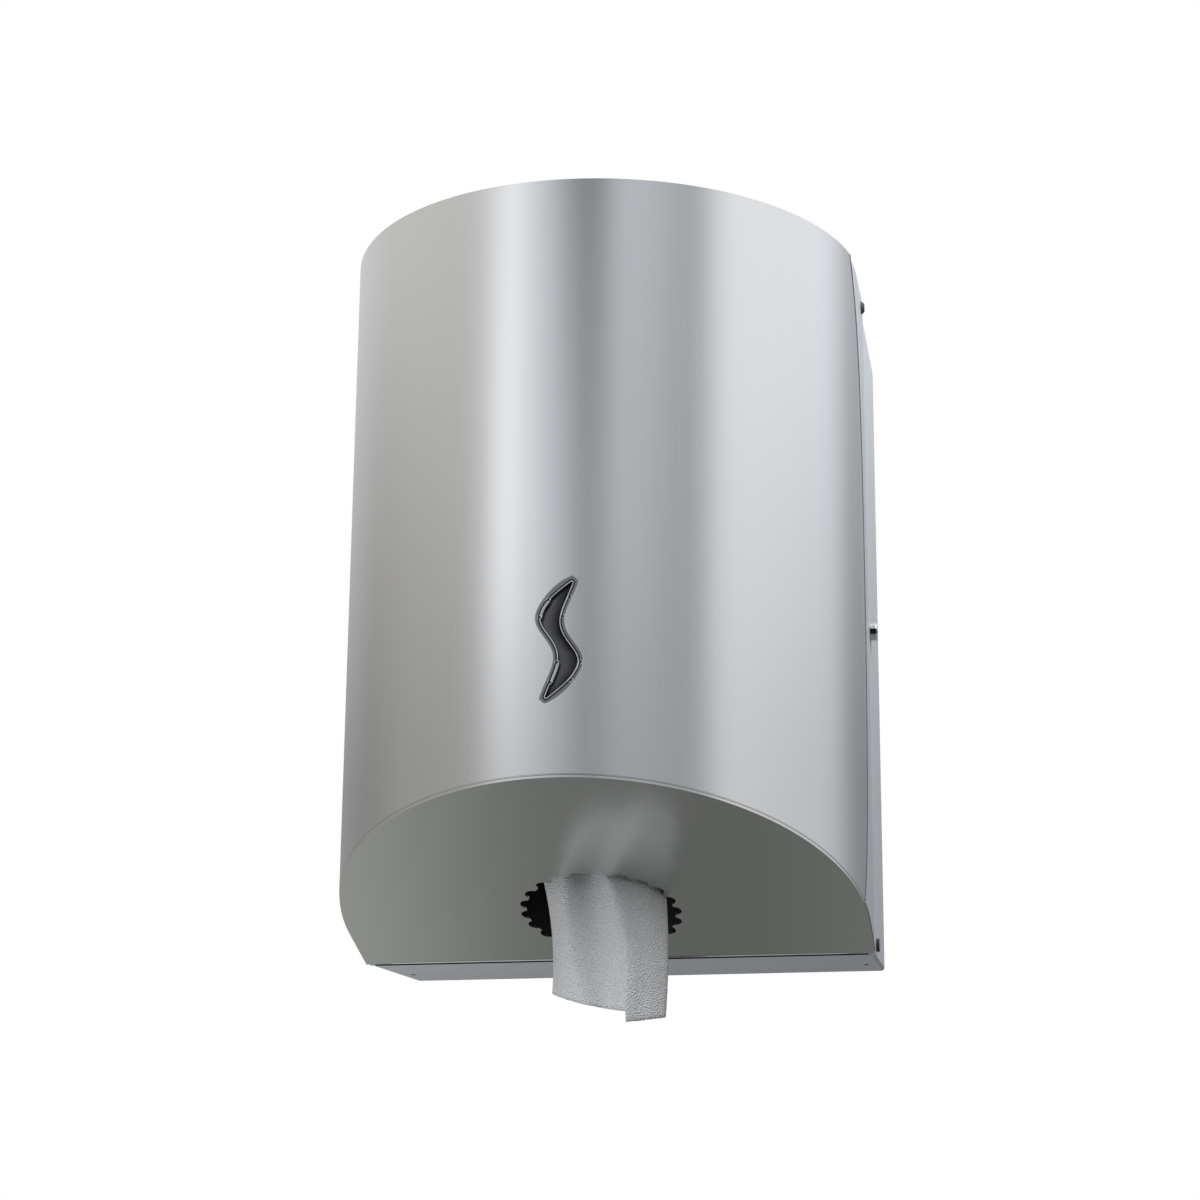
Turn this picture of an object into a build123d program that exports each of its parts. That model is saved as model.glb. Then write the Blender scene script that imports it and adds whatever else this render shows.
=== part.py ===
"""Wall dispenser for centre-pull paper rolls.

A moulded back tray is screwed to the wall. A half-round cover, skinned in sheet steel, hinges on two pins
at the tray's bottom corners and carries the roll. A key lock in the right wall holds the cover shut.
X is to the right, Y into the wall, Z up. The origin is the centre of the wall screws on the wall plane.
All lengths are in millimetres.
"""
import os
from math import atan2, cos, degrees, hypot, radians, sin, sqrt, tan

from build123d import *

os.makedirs("parts", exist_ok=True)

# The case is built round a centre-pull roll
roll_radius = 97
roll_side_gap = 33
roll_front_gap = 13.8
roll_rear_gap = 38.5
headroom = 74
cover_height = 350
cut_over = 2

# Screws have hexagon heads, and cut their thread in hexagon core holes
screw_head_sides = 6
pilot_sides = 6

# Steel skin: its rear edge bows back at mid height and curves forward at both ends
skin_sheet = 1
skin_gap = 0.2
skin_slit = 0.6
skin_edge_back = 3
skin_shoulder_fore = 5
skin_end_fore = 25
skin_shoulder_share = 0.3

# Moulded cover frame inside the skin
frame_wall = 2.5
top_inset = 0.8
cover_gap = 0.8
lip_ear_gap = 6
lip_wall = 2.5
lip_lap = 2

# Slanted underside plate and its serrated outlet
underside_angle = 22
underside_sheet = 1
underside_inset = 0.2
hem_side_gap = 6
hem_height = 6
outlet_radius = 36.2
tooth_count = 22
lobe_radius = 3.9
lobe_inset = 0.6

# Wave-shaped sight window: left edge as shares of half the width and half the height, from the top tip to
# the bottom tip; the right edge is the same curve turned by half a turn, and the tips are cut off blunt
window_width = 22.3
window_height = 59.4
window_rise = 127
window_offset = 1.8
window_tip_round = 1.2
wave_shares = [(0.56, 1.0), (-0.14, 0.85), (-0.66, 0.64), (-1.0, 0.32), (-0.66, 0.06), (-0.23, -0.25),
               (-0.44, -0.58), (-0.8, -0.92)]
lens_clearance = 0.15
lens_recess = 0.2
lens_flange_lap = 6
lens_flange_wall = 2.5
lens_pan_drop = 2.4
pan_tip_round = 0.3
pan_shares = [(0.5, 0.92), (0.06, 0.79), (-0.46, 0.61), (-0.8, 0.32), (-0.46, 0.08), (-0.04, -0.26),
              (-0.24, -0.58), (-0.57, -0.89)]
lens_hook_width = 1.5
lens_hook_reach = 2.5
lens_hook_ends = [((-0.52, 0.64), (-0.78, 0.36)), ((0.32, 0.66), (0.1, 0.36))]

# Moulded back tray, with its floor reaching further forward than its walls
base_drop = 10
floor_gap = 6.5
floor_reach = 4.5
base_wall = 3
floor_wall = 2.5
floor_lip = 0.5
floor_taper = 9
base_draft = 0.6
base_corner = 1.2
base_top_round = 8
screw_inset_x = 40
screw_inset_z = 50
screw_hole_radius = 3.25
screw_pad = 18
screw_pad_height = 2.5
rib_wall = 2
rib_height = 5
rib_screw_gap = 35
drain_inset = 4.8
drain_depth = 35
drain_radius = 1.25

# Hinge: pins in the cover's arms turn in bushes in the tray's walls
hinge_setback = 16
hinge_rise = 6.8
pin_radius = 2.2
pin_clearance = 0.05
pin_recess = 0.3
pin_head_radius = 3.2
pin_head_height = 1.2
bush_wall = 0.6
bush_cap_radius = 3.4
bush_cap_height = 1.6
hinge_pad_width = 12
hinge_pad_lap = 6
hinge_pad_height = 1.2
knuckle_gap = 0.8
open_angle = 60

# Hinge arms
arm_sheet = 2.2
arm_gap = 0.4
arm_eye_radius = 4
arm_front_reach = 20
arm_foot_setback = 9
arm_foot_width = 14
arm_shelf_width = 18
arm_relief_gap = 4

# Roll platform, its chute and its screws
platform_wall = 3
platform_side_gap = 3.3
platform_front_gap = 5.5
chute_lap = 1
chute_wall = 2
chute_rear_gap = 1
platform_rear_lap = 5.5
stop_gap = 1.5
stop_wall = 3
stop_width = 16
stop_height = 8
stop_count = 4
stop_angle = 45
platform_screw_inset = 12
screw_head_radius = 3.5
screw_head_height = 2
screw_shank_radius = 1.9
screw_bite = 2.4

# Folded paper tail that hangs from the roll's centre
tail_thickness = 0.9
tail_teeth_gap = 2.1
tail_layers = 4
tail_layer_pitch = 5
tail_crease = 2
tail_left_angle = 50
tail_right_angle = 65
tail_core_gap = 0.35
tail_rise = 30
tail_left_drop = 24
tail_fold_drop = 34
tail_right_drop = 39
tail_fold_share = 0.42

# Key lock in the right wall, at mid height
lock_setback = 14
lock_z = -4
lock_head_radius = 5
lock_head_height = 3.6
lock_head_bevel = 0.6
lock_body_radius = 4
lock_body_length = 17
lock_hole_clearance = 0.1
washer_radius = 7
washer_sheet = 0.6
nut_across = 12
nut_height = 3
plug_radius = 2.8
plug_clearance = 0.05
plug_inset = 0.4
key_slot_width = 1
key_slot_height = 4.2
key_slot_length = 8
cam_seat_across = 3.6
cam_sheet = 1.5
cam_gap = 0.2
cam_hub_radius = 6
cam_length = 22
cam_width = 8
cam_round = 2
cam_screw_head_radius = 3
cam_screw_head_height = 2
cam_screw_radius = 1.2
cam_screw_length = 7

# Keeper hook on the right cheek
keeper_sheet = 1.5
keeper_wall_gap = 1.8
keeper_reach = 26
keeper_cam_gap = 4
keeper_cam_lap = 1
keeper_low_rise = 9.5
keeper_height = 12
keeper_screw_reaches = (9, 20)
keeper_pad_length = 20
keeper_screw_head_radius = 3
keeper_screw_head_height = 1.8
keeper_screw_radius = 1.4
keeper_screw_bite = 1.5

# Catch studs at the cover's top corners, and the tray's catch ears
stud_reach = 11
stud_drop = 7.5
stud_head_radius = 3.6
stud_head_height = 1.8
stud_taper = 35
stud_shank_radius = 2.4
stud_nub = 0.7
ear_gap = 0.3
ear_wall = 2
ear_root = 20
ear_reach = 17
ear_height = 9

# Faces and levels that follow from the sizes above
cover_radius = roll_radius + roll_side_gap
cover_width = 2 * cover_radius
skin_inner = cover_radius - skin_sheet
side_face = skin_inner - skin_gap
frame_inner = side_face - frame_wall
cover_depth = roll_rear_gap + 2 * roll_radius + roll_front_gap + cover_radius - frame_inner
arc_y = cover_radius - cover_depth
bottom = -cover_height / 2
top = cover_height / 2
frame_top = top - top_inset
base_top = top - base_drop
base_height = base_top - bottom
base_inner = side_face - base_wall
slope = tan(radians(underside_angle))
slant = cos(radians(underside_angle))
sheet_rise = underside_sheet / slant

# Depths from the wall, worked back from the outlet under the roll's centre
outlet_depth = roll_rear_gap + roll_radius
chute_radius = outlet_radius + lobe_radius - lobe_inset + chute_lap
underside_rear_depth = outlet_depth - chute_radius - chute_wall - chute_rear_gap - underside_sheet
floor_depth = underside_rear_depth - floor_gap
base_depth = floor_depth - floor_reach
frame_rear = base_depth + cover_gap
hinge_depth = base_depth - hinge_setback
lock_depth = base_depth - lock_setback
stud_depth = base_depth + stud_reach

# Hinge, platform and tail
hinge_z = bottom + hinge_rise
knuckle_radius = hypot(floor_depth - hinge_depth, hinge_rise)
hinge_pad_face = base_inner - hinge_pad_height
hinge_pad_top = hinge_rise + hinge_pad_lap
arm_face = hinge_pad_face - arm_gap
arm_inner = arm_face - arm_sheet
platform_half_width = frame_inner - platform_side_gap
platform_front_depth = platform_half_width - arc_y
platform_rise = slope * (platform_front_depth - underside_rear_depth) + sheet_rise + platform_front_gap
platform_z = bottom + platform_rise
roll_z = platform_z + platform_wall
roll_height = top - headroom - roll_z
stud_z = top - stud_drop
tail_radius = outlet_radius * slant - tail_thickness / 2 - tail_teeth_gap
core_radius = tail_radius + tail_thickness / 2 + tail_core_gap
underside_plane = Plane(
    origin=(0, -underside_rear_depth, bottom),
    x_dir=(1, 0, 0),
    z_dir=(0, sin(radians(underside_angle)), slant),
)


def underside_z(depth):
    """Height of the underside plate's lower face at a distance from the wall."""
    return bottom + slope * (depth - underside_rear_depth)


def side_plane(x):
    """Plane across the part at x, drawn in y and z."""
    return Plane.YZ.offset(x)


def cover_plan(radius, rear_depth):
    """Plan of the cover: a half-round front with straight sides back to rear_depth."""
    with BuildSketch() as plan:
        with BuildLine():
            front = CenterArc((0, arc_y), radius, 180, 180)
            Polyline(front @ 1, (radius, -rear_depth), (-radius, -rear_depth), front @ 0)
        make_face()
    return plan.sketch


def below_underside(lift):
    """Side view of the space under the slanted underside, raised by lift."""
    reach = cover_depth + cut_over
    with BuildSketch() as wedge:
        with BuildLine():
            Polyline(
                (0, underside_z(0) + lift),
                (-reach, underside_z(reach) + lift),
                (-reach, underside_z(0) + lift),
                close=True,
            )
        make_face()
    return wedge.sketch


def wave(shares, clearance, tip_round):
    """Wave-shaped outline with blunt tips, centred on its own middle."""
    half_width = window_width / 2 - clearance
    half_height = window_height / 2 - clearance
    left = [(x * half_width, z * half_height) for x, z in shares]
    right = [(-x, -z) for x, z in left]
    with BuildSketch() as outline:
        with BuildLine():
            Spline(*left)
            Line(left[-1], right[0])
            Spline(*right)
            Line(right[-1], left[0])
        make_face()
        fillet(outline.vertices(), tip_round)
    return outline.sketch


def finish(piece, name):
    """Label a finished piece and write it."""
    piece.part.label = name
    export_step(piece.part, f"parts/{name}.step")


# Back tray: drafted box, trimmed to its side view, then hollowed from the front
knuckle_low = (-floor_depth, bottom)
knuckle_mid = (-hinge_depth - knuckle_radius, hinge_z)
knuckle_high = (-base_depth, hinge_z + sqrt(knuckle_radius**2 - (base_depth - hinge_depth) ** 2))
inner_height = base_height - base_wall - floor_wall
inner_middle = (bottom + floor_wall + base_top - base_wall) / 2
ear_face = frame_inner - stud_nub - ear_gap
ear_inner = ear_face - ear_wall
ear_root_face = base_inner + base_wall / 2
screw_spacing_x = cover_width - 2 * screw_inset_x
screw_spacing_z = cover_height - 2 * screw_inset_z
drain_x = base_inner - drain_inset

with BuildPart() as base_tray:
    with BuildSketch(Plane.XY.offset(bottom)):
        with BuildLine():
            Polyline(
                (side_face - base_draft, 0),
                (side_face, -floor_depth),
                (-side_face, -floor_depth),
                (base_draft - side_face, 0),
                close=True,
            )
        make_face()
    extrude(amount=base_height)
    floor_edges = base_tray.faces().sort_by(Axis.Z)[0].edges().filter_by(Axis.X, reverse=True)
    roof_edges = base_tray.faces().sort_by(Axis.Z)[-1].edges().filter_by(Axis.X, reverse=True)
    chamfer(floor_edges + roof_edges, base_corner)
    with BuildSketch(Plane.YZ) as tray_side:
        with BuildLine():
            Polyline((0, base_top), (0, bottom), knuckle_low)
            ThreePointArc(knuckle_low, knuckle_mid, knuckle_high)
            Polyline(knuckle_high, (-base_depth, base_top), (0, base_top))
        make_face()
        fillet(tray_side.vertices().group_by(Axis.X)[-1].sort_by(Axis.Y)[-1], base_top_round)
    extrude(amount=cover_width, both=True, mode=Mode.INTERSECT)
    with BuildSketch(Plane.XZ.offset(base_wall)):
        with Locations((0, inner_middle)):
            Rectangle(2 * base_inner, inner_height)
    extrude(amount=floor_depth, mode=Mode.SUBTRACT)
    with BuildSketch(Plane.YZ):
        with BuildLine():
            Polyline(
                (-floor_depth, bottom + floor_lip),
                (floor_taper - floor_depth, bottom + floor_wall),
                (-floor_depth, bottom + floor_wall),
                close=True,
            )
        make_face()
    extrude(amount=base_inner, both=True, mode=Mode.SUBTRACT)
    with BuildSketch(Plane.XZ.offset(base_wall)):
        with Locations((0, inner_middle)):
            with GridLocations(screw_spacing_x - 2 * rib_screw_gap, 0, 2, 1):
                Rectangle(rib_wall, inner_height)
            with GridLocations(0, screw_spacing_z - 2 * rib_screw_gap, 1, 2):
                Rectangle(2 * base_inner, rib_wall)
    extrude(amount=rib_height)
    with BuildSketch(Plane.XZ.offset(base_wall)):
        with GridLocations(screw_spacing_x, screw_spacing_z, 2, 2):
            Rectangle(screw_pad, screw_pad)
    extrude(amount=screw_pad_height)
    with BuildSketch(Plane.XZ):
        with GridLocations(screw_spacing_x, screw_spacing_z, 2, 2):
            Circle(screw_hole_radius)
    extrude(amount=base_wall + screw_pad_height + cut_over, mode=Mode.SUBTRACT)
    for side in (1, -1):
        with BuildSketch(side_plane(side * hinge_pad_face)):
            with Locations((-hinge_depth, bottom + hinge_pad_top / 2)):
                Rectangle(hinge_pad_width, hinge_pad_top)
        extrude(amount=side * hinge_pad_height)
        with BuildSketch(Plane.XY.offset(stud_z - ear_height / 2)):
            with BuildLine():
                Polyline(
                    (side * ear_root_face, ear_root - base_depth),
                    (side * ear_root_face, cover_gap - base_depth),
                    (side * ear_face, cover_gap - base_depth),
                    (side * ear_face, -base_depth - ear_reach),
                    (side * ear_inner, -base_depth - ear_reach),
                    (side * ear_inner, ear_root - base_depth),
                    close=True,
                )
            make_face()
        extrude(amount=base_top - base_wall / 2 - stud_z + ear_height / 2)
    with BuildSketch(side_plane(-cover_radius)):
        with Locations((-hinge_depth, hinge_z)):
            Circle(pin_radius + pin_clearance + bush_wall)
    extrude(amount=cover_width, mode=Mode.SUBTRACT)
    with BuildSketch(side_plane(base_inner - cut_over)):
        with Locations((-lock_depth, lock_z)):
            Circle(lock_body_radius + lock_hole_clearance)
    extrude(amount=base_wall + 2 * cut_over, mode=Mode.SUBTRACT)
    with BuildSketch(Plane.XY.offset(bottom)):
        with Locations((drain_x, -drain_depth), (-drain_x, -drain_depth)):
            Circle(drain_radius)
    extrude(amount=floor_wall, mode=Mode.SUBTRACT)
finish(base_tray, "base_tray")

# Hinge bushes pressed into the tray's side walls from outside, with closed caps
bush_seat = side_face - base_draft * (1 - (hinge_depth + bush_cap_radius) / floor_depth)
with BuildPart() as hinge_bushes:
    with BuildSketch(side_plane(hinge_pad_face)):
        with Locations((-hinge_depth, hinge_z)):
            Circle(pin_radius + pin_clearance + bush_wall)
    extrude(amount=bush_seat - hinge_pad_face)
    with BuildSketch(side_plane(hinge_pad_face)):
        with Locations((-hinge_depth, hinge_z)):
            Circle(pin_radius + pin_clearance)
    extrude(amount=bush_seat - hinge_pad_face, mode=Mode.SUBTRACT)
    with BuildSketch(side_plane(bush_seat)):
        with Locations((-hinge_depth, hinge_z)):
            Circle(bush_cap_radius)
    extrude(amount=bush_cap_height)
    mirror(about=Plane.YZ)
finish(hinge_bushes, "hinge_bushes")

# Lock barrel: head outside the wall, body through it
barrel_end = side_face - lock_body_length
with BuildPart() as lock_barrel:
    with BuildSketch(side_plane(side_face)):
        with Locations((-lock_depth, lock_z)):
            Circle(lock_head_radius)
    extrude(amount=lock_head_height)
    chamfer(lock_barrel.faces().sort_by(Axis.X)[-1].edges(), lock_head_bevel)
    with BuildSketch(side_plane(barrel_end)):
        with Locations((-lock_depth, lock_z)):
            Circle(lock_body_radius)
    extrude(amount=lock_body_length)
    with BuildSketch(side_plane(barrel_end - cut_over)):
        with Locations((-lock_depth, lock_z)):
            Circle(plug_radius + plug_clearance)
    extrude(amount=lock_body_length + lock_head_height + 2 * cut_over, mode=Mode.SUBTRACT)
finish(lock_barrel, "lock_barrel")

# Washer and nut that clamp the barrel from inside the tray
with BuildPart() as lock_washer:
    with BuildSketch(side_plane(base_inner - washer_sheet)):
        with Locations((-lock_depth, lock_z)):
            Circle(washer_radius)
            Circle(lock_body_radius + lock_hole_clearance, mode=Mode.SUBTRACT)
    extrude(amount=washer_sheet)
finish(lock_washer, "lock_washer")

with BuildPart() as lock_nut:
    with BuildSketch(side_plane(base_inner - washer_sheet - nut_height)):
        with Locations((-lock_depth, lock_z)):
            RegularPolygon(nut_across / 2, screw_head_sides, major_radius=False)
            Circle(lock_body_radius + lock_hole_clearance, mode=Mode.SUBTRACT)
    extrude(amount=nut_height)
finish(lock_nut, "lock_nut")

# Lock plug: key slot in front, square seat for the cam behind
plug_front = side_face + lock_head_height - plug_inset
seat_end = barrel_end - cam_gap - cam_sheet
with BuildPart() as lock_plug:
    with BuildSketch(side_plane(barrel_end)):
        with Locations((-lock_depth, lock_z)):
            Circle(plug_radius)
    extrude(amount=plug_front - barrel_end)
    with BuildSketch(side_plane(seat_end)):
        with Locations((-lock_depth, lock_z)):
            Rectangle(cam_seat_across, cam_seat_across)
    extrude(amount=barrel_end - seat_end)
    with BuildSketch(side_plane(plug_front)):
        with Locations((-lock_depth, lock_z)):
            Rectangle(key_slot_width, key_slot_height)
    extrude(amount=-key_slot_length, mode=Mode.SUBTRACT)
    with BuildSketch(side_plane(seat_end)):
        with Locations((-lock_depth, lock_z)):
            RegularPolygon(cam_screw_radius, pilot_sides, major_radius=False)
    extrude(amount=cam_screw_length, mode=Mode.SUBTRACT)
finish(lock_plug, "lock_plug")

# Cam: points forward when the lock is open, and up in front of the keeper's hook when it is locked
with BuildPart() as lock_cam:
    with BuildSketch(side_plane(seat_end)):
        with Locations((-lock_depth, lock_z)):
            Circle(cam_hub_radius)
        with Locations((-lock_depth - cam_length / 2, lock_z)):
            Rectangle(cam_length, cam_width)
        with Locations((-lock_depth, lock_z)):
            Rectangle(cam_seat_across, cam_seat_across, mode=Mode.SUBTRACT)
    extrude(amount=cam_sheet)
    fillet(lock_cam.edges().filter_by(Axis.X).group_by(Axis.Y)[0], cam_round)
finish(lock_cam, "lock_cam")

with BuildPart() as cam_screw:
    with BuildSketch(side_plane(seat_end - cam_screw_head_height)):
        with Locations((-lock_depth, lock_z)):
            RegularPolygon(cam_screw_head_radius, screw_head_sides)
    extrude(amount=cam_screw_head_height)
    with BuildSketch(side_plane(seat_end)):
        with Locations((-lock_depth, lock_z)):
            Circle(cam_screw_radius)
    extrude(amount=cam_screw_length)
finish(cam_screw, "cam_screw")

# Cover frame: half-round liner with a top panel, trimmed to its side view
window_z = bottom + window_rise
keeper_face = base_inner - keeper_wall_gap
keeper_middle = lock_z + keeper_low_rise + keeper_height / 2
keeper_screw_places = [(-base_depth - reach, keeper_middle) for reach in keeper_screw_reaches]
flange_width = window_width + 2 * lens_flange_lap
flange_height = window_height + 2 * lens_flange_lap

with BuildPart() as cover_frame:
    with BuildSketch(Plane.XY.offset(bottom)):
        add(cover_plan(side_face, frame_rear))
    extrude(amount=frame_top - bottom)
    with BuildSketch(Plane.XY.offset(bottom)):
        add(cover_plan(frame_inner, frame_rear - cut_over))
    extrude(amount=frame_top - frame_wall - bottom, mode=Mode.SUBTRACT)
    with BuildSketch(Plane.YZ):
        add(below_underside(sheet_rise))
        with Locations((-hinge_depth, hinge_z)):
            Circle(knuckle_radius + knuckle_gap)
    extrude(amount=cover_width, both=True, mode=Mode.SUBTRACT)
    with BuildSketch(Plane.XY.offset(base_top - lip_lap)):
        with Locations((0, -frame_rear - lip_wall / 2)):
            Rectangle(2 * (ear_inner - lip_ear_gap), lip_wall)
    extrude(amount=frame_top - frame_wall - base_top + lip_lap)
    with BuildSketch(Plane.XZ.offset(-arc_y)):
        with Locations((window_offset, window_z)):
            Rectangle(flange_width, flange_height)
    extrude(amount=cover_radius, mode=Mode.SUBTRACT)
    with BuildSketch(side_plane(keeper_face)):
        with Locations((-base_depth - sum(keeper_screw_reaches) / 2, keeper_middle)):
            Rectangle(keeper_pad_length, keeper_height)
    extrude(amount=frame_inner - keeper_face)
    with BuildSketch(side_plane(keeper_face)):
        with Locations(keeper_screw_places):
            RegularPolygon(keeper_screw_radius, pilot_sides, major_radius=False)
    extrude(amount=frame_inner - keeper_face + keeper_screw_bite, mode=Mode.SUBTRACT)
    with BuildSketch(side_plane(-cover_radius)):
        with Locations((-stud_depth, stud_z)):
            Circle(stud_shank_radius)
    extrude(amount=cover_width, mode=Mode.SUBTRACT)
finish(cover_frame, "cover_frame")

# Steel skin: rolled sheet trimmed to its side view, with the window cut in
skin_edge_y = arc_y + skin_edge_back
shoulder_z = cover_height * skin_shoulder_share
shoulder_high = (arc_y - skin_shoulder_fore, shoulder_z)
shoulder_low = (arc_y - skin_shoulder_fore, -shoulder_z)
end_high = (arc_y - skin_end_fore, top)
end_low = (arc_y - skin_end_fore, bottom)
skin_front_y = -cover_depth - cut_over

with BuildPart() as cover_skin:
    with BuildSketch(Plane.XY.offset(bottom)):
        add(cover_plan(cover_radius, -skin_edge_y))
        add(cover_plan(skin_inner, -skin_edge_y - cut_over), mode=Mode.SUBTRACT)
    extrude(amount=cover_height)
    with BuildSketch(Plane.YZ):
        with BuildLine():
            bow = ThreePointArc(shoulder_low, (skin_edge_y, 0), shoulder_high)
            TangentArc(shoulder_high, end_high, tangent=bow % 1)
            TangentArc(shoulder_low, end_low, tangent=-(bow % 0))
            Polyline(end_high, (skin_front_y, top), (skin_front_y, bottom), end_low)
        make_face()
        add(below_underside(sheet_rise + skin_slit), mode=Mode.SUBTRACT)
    extrude(amount=cover_width, both=True, mode=Mode.INTERSECT)
    with BuildSketch(Plane.XZ.offset(-arc_y)):
        with Locations((window_offset, window_z)):
            add(wave(wave_shares, 0, window_tip_round))
    extrude(amount=cover_radius + cut_over, mode=Mode.SUBTRACT)
finish(cover_skin, "cover_skin")

# Underside plate: slanted sheet under the skin's lower edge, with the serrated outlet and a rear hem
outlet_forward = (outlet_depth - underside_rear_depth) / slant

with BuildPart() as cover_underside:
    with BuildSketch(Plane.XY.offset(bottom)):
        add(cover_plan(cover_radius - underside_inset, underside_rear_depth))
    extrude(amount=cover_height)
    with BuildSketch(Plane.YZ):
        add(below_underside(sheet_rise))
        add(below_underside(0), mode=Mode.SUBTRACT)
    extrude(amount=cover_width, both=True, mode=Mode.INTERSECT)
    with BuildSketch(underside_plane):
        with Locations((0, -outlet_forward)):
            Circle(outlet_radius)
            with PolarLocations(outlet_radius - lobe_inset, tooth_count):
                Circle(lobe_radius)
    extrude(amount=underside_sheet + cut_over, both=True, mode=Mode.SUBTRACT)
    with BuildSketch(Plane.XY.offset(bottom)):
        with Locations((0, -underside_rear_depth - underside_sheet / 2)):
            Rectangle(2 * (arm_inner - hem_side_gap), underside_sheet)
    extrude(amount=hem_height)
finish(cover_underside, "cover_underside")

# Sight window lens: flange behind the skin, wave-shaped boss flush with it, a sunk pan and snap hooks behind
lens_face = cover_radius - lens_recess
lens_back = side_face - lens_flange_wall
pan_face = lens_face - lens_pan_drop


def lens_block(outline, outer, inner):
    """The part of an outline, seen from the front, that lies between two radii of the cover."""
    with BuildPart() as block:
        with BuildSketch(Plane.XZ.offset(-arc_y)):
            with Locations((window_offset, window_z)):
                add(outline)
        extrude(amount=cover_radius)
        with BuildSketch(Plane.XY.offset(bottom)):
            with Locations((0, arc_y)):
                Circle(outer)
                Circle(inner, mode=Mode.SUBTRACT)
        extrude(amount=cover_height, mode=Mode.INTERSECT)
    return block.part


with BuildSketch() as flange_outline:
    Rectangle(flange_width - 2 * lens_clearance, flange_height - 2 * lens_clearance)
lens_flange = lens_block(flange_outline.sketch, side_face, lens_back)
lens_boss = lens_block(wave(wave_shares, lens_clearance, window_tip_round), lens_face, lens_back)
lens_pan = lens_block(wave(pan_shares, lens_clearance, pan_tip_round), lens_face + cut_over, pan_face)

with BuildPart() as window_lens:
    add(lens_flange)
    add(lens_boss)
    add(lens_pan, mode=Mode.SUBTRACT)
    with BuildSketch(Plane.XZ.offset(lens_back - arc_y - lens_hook_reach)):
        for turn in (1, -1):
            for high, low in lens_hook_ends:
                run_x = turn * (high[0] - low[0]) * window_width / 2
                run_z = turn * (high[1] - low[1]) * window_height / 2
                middle_x = window_offset + turn * (high[0] + low[0]) * window_width / 4
                middle_z = window_z + turn * (high[1] + low[1]) * window_height / 4
                with Locations((middle_x, middle_z)):
                    Rectangle(hypot(run_x, run_z), lens_hook_width, rotation=degrees(atan2(run_z, run_x)))
    extrude(amount=lens_hook_reach + lens_flange_wall / 2)
finish(window_lens, "window_lens")

# Hinge arms: bent steel brackets with a shelf under the platform, a foot on the underside and a hinge eye
arm_top = platform_z
neck_angle = radians(open_angle)
relief_radius = knuckle_radius + arm_relief_gap
neck_length = relief_radius + arm_relief_gap
neck_low = (-hinge_depth - arm_eye_radius * sin(neck_angle), hinge_z - arm_eye_radius * cos(neck_angle))
neck_high = (neck_low[0] - neck_length * cos(neck_angle), neck_low[1] + neck_length * sin(neck_angle))
arm_front_depth = arm_front_reach - arc_y
arm_foot_rear_depth = underside_rear_depth + arm_foot_setback
platform_screw_x = arm_inner - arm_shelf_width / 2
platform_screw_depths = (hinge_depth + platform_screw_inset, arm_front_depth - platform_screw_inset)
foot_rear = (-arm_foot_rear_depth, underside_z(arm_foot_rear_depth) + sheet_rise)
foot_front = (-arm_front_depth, underside_z(arm_front_depth) + sheet_rise)
arm_rear = arm_eye_radius - hinge_depth
foot_thick = arm_sheet / slant

with BuildPart() as hinge_arm_right:
    with BuildSketch(side_plane(arm_inner)):
        with BuildLine():
            Polyline((arm_rear, hinge_z), (arm_rear, arm_top), (-arm_front_depth, arm_top), foot_front,
                     foot_rear, (neck_low[0], foot_rear[1]), close=True)
        make_face()
        with Locations((-hinge_depth, hinge_z)):
            Circle(relief_radius, mode=Mode.SUBTRACT)
        with BuildLine():
            Polyline((arm_rear, hinge_z), (arm_rear, arm_top), (neck_high[0], arm_top), neck_high, neck_low,
                     (-hinge_depth, hinge_z), close=True)
        make_face()
        with Locations((-hinge_depth, hinge_z)):
            Circle(arm_eye_radius)
    extrude(amount=arm_sheet)
    with BuildSketch(side_plane(arm_inner - arm_shelf_width)):
        with BuildLine():
            Polyline(
                (arm_rear, arm_top),
                (-arm_front_depth, arm_top),
                (-arm_front_depth, arm_top - arm_sheet),
                (arm_rear, arm_top - arm_sheet),
                close=True,
            )
        make_face()
    extrude(amount=arm_shelf_width)
    with BuildSketch(side_plane(arm_inner - arm_foot_width)):
        with BuildLine():
            Polyline(foot_rear, foot_front, (foot_front[0], foot_front[1] + foot_thick),
                     (foot_rear[0], foot_rear[1] + foot_thick), close=True)
        make_face()
    extrude(amount=arm_foot_width)
    with BuildSketch(side_plane(arm_inner - cut_over)):
        with Locations((-hinge_depth, hinge_z)):
            Circle(pin_radius)
    extrude(amount=arm_sheet + 2 * cut_over, mode=Mode.SUBTRACT)
    with BuildSketch(Plane.XY.offset(arm_top - arm_sheet - cut_over)):
        with Locations([(platform_screw_x, -depth) for depth in platform_screw_depths]):
            Circle(screw_shank_radius)
    extrude(amount=arm_sheet + cut_over, mode=Mode.SUBTRACT)
finish(hinge_arm_right, "hinge_arm_right")

with BuildPart() as hinge_arm_left:
    mirror(hinge_arm_right.part, about=Plane.YZ)
finish(hinge_arm_left, "hinge_arm_left")

# Hinge pins, fixed in the arm eyes
with BuildPart() as hinge_pins:
    with BuildSketch(side_plane(arm_inner - pin_head_height)):
        with Locations((-hinge_depth, hinge_z)):
            Circle(pin_head_radius)
    extrude(amount=pin_head_height)
    with BuildSketch(side_plane(arm_inner)):
        with Locations((-hinge_depth, hinge_z)):
            Circle(pin_radius)
    extrude(amount=bush_seat - pin_recess - arm_inner)
    mirror(about=Plane.YZ)
finish(hinge_pins, "hinge_pins")

# Roll platform: level shelf with four stops round the roll and a chute down to the outlet
outlet_place = (0, -outlet_depth)
screw_places = [(side * platform_screw_x, -depth) for side in (1, -1) for depth in platform_screw_depths]

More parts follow.
